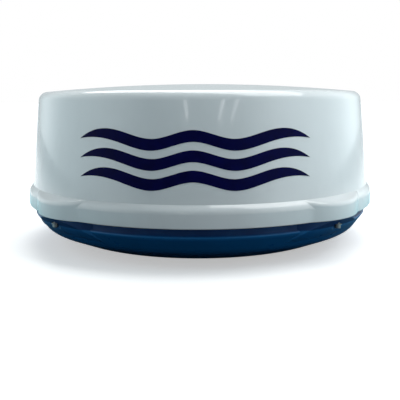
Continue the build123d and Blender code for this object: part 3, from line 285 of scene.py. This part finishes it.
MATERIALS = {
    "radome_gelcoat": gelcoat(),
    "decal_vinyl": vinyl(),
    "base_paint": blue_paint(),
    "black_rubber": rubber("black_rubber", (0.018, 0.018, 0.020)),
    "stainless": metal("stainless_steel", (0.31, 0.31, 0.31), 0.38, scale=400.0),
    "zinc_steel": metal("zinc_plated_steel", (0.58, 0.58, 0.53), 0.34, brushed=(1, 6, 1)),
    "brass": metal("brass", (0.66, 0.46, 0.17), 0.30, brushed=(1, 1, 8), tarnish=(0.55, 0.42, 0.3)),
    "black_nylon": plastic("black_nylon", (0.018, 0.018, 0.020), 0.46),
    "cast_aluminium": cast("cast_aluminium", (0.56, 0.57, 0.58)),
    "sheet_aluminium": metal("sheet_aluminium", (0.68, 0.69, 0.70), 0.32, brushed=(1, 6, 1), scale=160.0),
    "bearing_steel": metal("bearing_steel", (0.66, 0.66, 0.67), 0.12, spread=0.05, scale=900.0),
    "gear_acetal": plastic("gear_acetal", (0.76, 0.75, 0.68), 0.40, grain=600.0),
    "motor_black": plastic("motor_black", (0.014, 0.014, 0.016), 0.32, grain=420.0, depth=0.00028),
    "pcb_green": circuit_board(),
    "terminal_green": plastic("terminal_green", (0.03, 0.22, 0.085), 0.38),
    "tinplate": metal("tinplate", (0.68, 0.68, 0.65), 0.20, brushed=(6, 1, 1), scale=180.0),
    "magnet_grey": cast("magnet_grey", (0.14, 0.14, 0.15), 0.46),
    "window_white": plastic("window_white", (0.77, 0.77, 0.71), 0.45, grain=500.0),
    "lead_grey": rubber("lead_grey", (0.10, 0.105, 0.115)),
}

SLOT_OF = {row["node"]: row["material_slot"] for row in frame["record"]["subparts"]}

for node_name, node in NODES.items():
    node.data.materials.clear()
    node.data.materials.append(MATERIALS[SLOT_OF[node_name]])


# ------------------------------------------------------------------ floor, lights, camera

FLOOR_R = 40.0
FLOOR_PALE = (0.90, 0.93)
FLOOR_GLOW = (0.45, 0.80)         # evens out the floor that is seen, near and far
FLOOR_GLOW_REACH = (1.0, 4.0)
FLANK_GLOW = 0.27                 # brightness that the floor beside the scanner reflects into it
BOUNCE_FRONT = (0.016, 0.036, 0.058)
BOUNCE_FLANK = (0.16, 0.42, 0.48)
BOUNCE_FAR = (0.84, 0.88, 0.90)
BOUNCE_START = 0.42               # where the far colour starts to come in


def floor_material():
    """Matt pale floor; what it throws up at the scanner is dark in front and lighter to the sides."""
    s = Surface("floor_pale", roughness=0.9)
    pale, paler = FLOOR_PALE
    seen = s.ramp(s.noise(1.2, detail=3), [(0.3, pale), (0.7, paler)])
    camera_ray = s.add("ShaderNodeLightPath").outputs["Is Camera Ray"]
    other_ray = s.math("SUBTRACT", 1.0, camera_ray)

    length = s.add("ShaderNodeVectorMath", operation="LENGTH")
    s.tree.links.new(s.coords.outputs["Object"], length.inputs[0])
    away = length.outputs["Value"]
    place = s.add("ShaderNodeSeparateXYZ")
    s.tree.links.new(s.coords.outputs["Object"], place.inputs[0])
    x, y = place.outputs[0], place.outputs[1]

    aside = s.fit(s.math("ABSOLUTE", x, 0.0), 0.0, 1.0, 0.22, 0.50)
    stretch = s.fit(y, 2.2, 0.9, -0.8, 0.1)
    far = s.fit(s.math("DIVIDE", s.math("SUBTRACT", away, BOUNCE_START), stretch), 0.0, 1.0, 0.0, 0.8)
    thrown = s.mix(far, s.mix(aside, BOUNCE_FRONT, BOUNCE_FLANK), BOUNCE_FAR)

    flank = s.math("MULTIPLY", s.math("MULTIPLY", far, aside), s.math("MULTIPLY", other_ray, FLANK_GLOW))
    even = s.fit(away, *FLOOR_GLOW, *FLOOR_GLOW_REACH)
    s.shader.inputs["Emission Color"].default_value = (1, 1, 1, 1)
    glow = s.math("ADD", s.math("MULTIPLY", camera_ray, even), flank)
    s.tree.links.new(glow, s.shader.inputs["Emission Strength"])
    s.bump(s.noise(300.0, detail=2), 0.05, 0.0002)
    return s.done(s.mix(camera_ray, thrown, seen))


def floor_piece():
    """Large round floor sheet."""
    mesh = bpy.data.meshes.new("floor")
    build = bmesh.new()
    bmesh.ops.create_circle(build, cap_ends=True, segments=128, radius=FLOOR_R)
    build.to_mesh(mesh)
    build.free()
    piece = bpy.data.objects.new("floor", mesh)
    bpy.context.scene.collection.objects.link(piece)
    mesh.materials.append(floor_material())
    return piece


floor_piece()


def area_light(name, place, target, size, power, colour=(1, 1, 1)):
    """Rectangular light that faces a target."""
    data = bpy.data.lights.new(name, "AREA")
    data.shape = "RECTANGLE"
    data.size, data.size_y = size
    data.energy = power
    data.color = colour
    lamp = bpy.data.objects.new(name, data)
    bpy.context.scene.collection.objects.link(lamp)
    lamp.location = place
    lamp.rotation_euler = (Vector(target) - Vector(place)).to_track_quat("-Z", "Y").to_euler()
    return lamp


OVERHEAD_AT = (0.3, 0.45, 2.2)
OVERHEAD_SIZE = (4.6, 1.6)
OVERHEAD_POWER = 68
STRIP_AT = (0.2, -1.5, 2.3)
STRIP_SIZE = (4.5, 0.45)
STRIP_POWER = 3
STRIP_COLOUR = (0.50, 0.90, 1.0)
DOME_TOP = (0, 0.1, 0.25)
DOME_MIDDLE = (0, 0, 0.25)
TUBES = ((-0.95, -6.5), (2.2, -6.3), (3.4, -6.0))     # x, y of each hanging tube
TUBE_HEIGHT = 1.75
TUBE_SIZE = (0.30, 5.0)
TUBE_POWER = 14

area_light("overhead", OVERHEAD_AT, DOME_TOP, OVERHEAD_SIZE, OVERHEAD_POWER)
area_light("front_strip", STRIP_AT, DOME_MIDDLE, STRIP_SIZE, STRIP_POWER, STRIP_COLOUR)
for tube_x, tube_y in TUBES:
    area_light("tube", (tube_x, tube_y, TUBE_HEIGHT), (tube_x, tube_y, 0), TUBE_SIZE, TUBE_POWER)

# Levels of the studio walls, as a light source.
FRONT_LEVEL = 0.02
LEFT_LEVEL = 1.10
RIGHT_LEVEL = 1.30
BACK_LEVEL = 0.55
SKY_LEVEL = 0.06
SHADE_COLOUR = (0.60, 0.90, 1.0)
SIDE_COLOUR = (0.91, 1.0, 1.03)


def studio_world():
    """White behind the object; as a light source, dim in front, brighter overhead and at the sides."""
    world = bpy.data.worlds.new("studio")
    bpy.context.scene.world = world
    world.use_nodes = True
    tree = world.node_tree
    tree.nodes.clear()

    def link(source, socket):
        tree.links.new(source, socket)

    def rise(source, sign, low, high, gain):
        """Smooth step over one component of the direction."""
        node = tree.nodes.new("ShaderNodeMapRange")
        node.interpolation_type = "SMOOTHERSTEP"
        node.inputs["From Min"].default_value = sign * low
        node.inputs["From Max"].default_value = sign * high
        node.inputs["To Min"].default_value = 0.0
        node.inputs["To Max"].default_value = gain
        link(source, node.inputs["Value"])
        return node.outputs[0]

    def plus(a, b):
        node = tree.nodes.new("ShaderNodeMath")
        node.operation = "ADD"
        for index, value in enumerate((a, b)):
            if isinstance(value, float):
                node.inputs[index].default_value = value
            else:
                link(value, node.inputs[index])
        return node.outputs[0]

    coords = tree.nodes.new("ShaderNodeTexCoord")
    split = tree.nodes.new("ShaderNodeSeparateXYZ")
    link(coords.outputs["Generated"], split.inputs[0])
    x, y, z = split.outputs
    shade_level = plus(FRONT_LEVEL, rise(z, 1, 0.25, 0.90, SKY_LEVEL))
    side_level = plus(rise(x, 1, 0.32, 0.98, RIGHT_LEVEL), rise(x, -1, 0.40, 1.00, LEFT_LEVEL))
    side_level = plus(side_level, rise(y, 1, 0.10, 0.80, BACK_LEVEL))

    output = tree.nodes.new("ShaderNodeOutputWorld")
    seen = tree.nodes.new("ShaderNodeBackground")
    seen.inputs["Color"].default_value = (1, 1, 1, 1)
    lit = tree.nodes.new("ShaderNodeAddShader")
    for index, (colour, level) in enumerate(((SHADE_COLOUR, shade_level), (SIDE_COLOUR, side_level))):
        part = tree.nodes.new("ShaderNodeBackground")
        part.inputs["Color"].default_value = (*colour, 1)
        link(level, part.inputs["Strength"])
        link(part.outputs[0], lit.inputs[index])
    path = tree.nodes.new("ShaderNodeLightPath")
    mix = tree.nodes.new("ShaderNodeMixShader")
    link(path.outputs["Is Camera Ray"], mix.inputs[0])
    link(lit.outputs[0], mix.inputs[1])
    link(seen.outputs[0], mix.inputs[2])
    link(mix.outputs[0], output.inputs[0])


studio_world()

CAMERA_DISTANCE = 1.1765      # from the scanner's axis, level
CAMERA_HEIGHT = 0.258
CAMERA_AZIMUTH = radians(1.85)
CAMERA_PITCH = radians(9.49)
CAMERA_ROLL = radians(-0.22)
CAMERA_LENS = 54.42
CAMERA_SENSOR = 36.0


def camera():
    """Camera a little above the skirt, looking slightly down."""
    data = bpy.data.cameras.new("camera")
    data.lens = CAMERA_LENS
    data.sensor_width = CAMERA_SENSOR
    rig = bpy.data.objects.new("camera", data)
    bpy.context.scene.collection.objects.link(rig)
    across = CAMERA_DISTANCE * sin(CAMERA_AZIMUTH)
    back = CAMERA_DISTANCE * cos(CAMERA_AZIMUTH)
    place = Vector((across, -back, CAMERA_HEIGHT))
    turn = Matrix.Rotation(CAMERA_AZIMUTH, 4, "Z") @ Matrix.Rotation(pi / 2 - CAMERA_PITCH, 4, "X")
    rig.matrix_world = Matrix.Translation(place) @ turn @ Matrix.Rotation(CAMERA_ROLL, 4, "Z")
    bpy.context.scene.camera = rig


camera()
bpy.context.scene.view_settings.view_transform = "Standard"
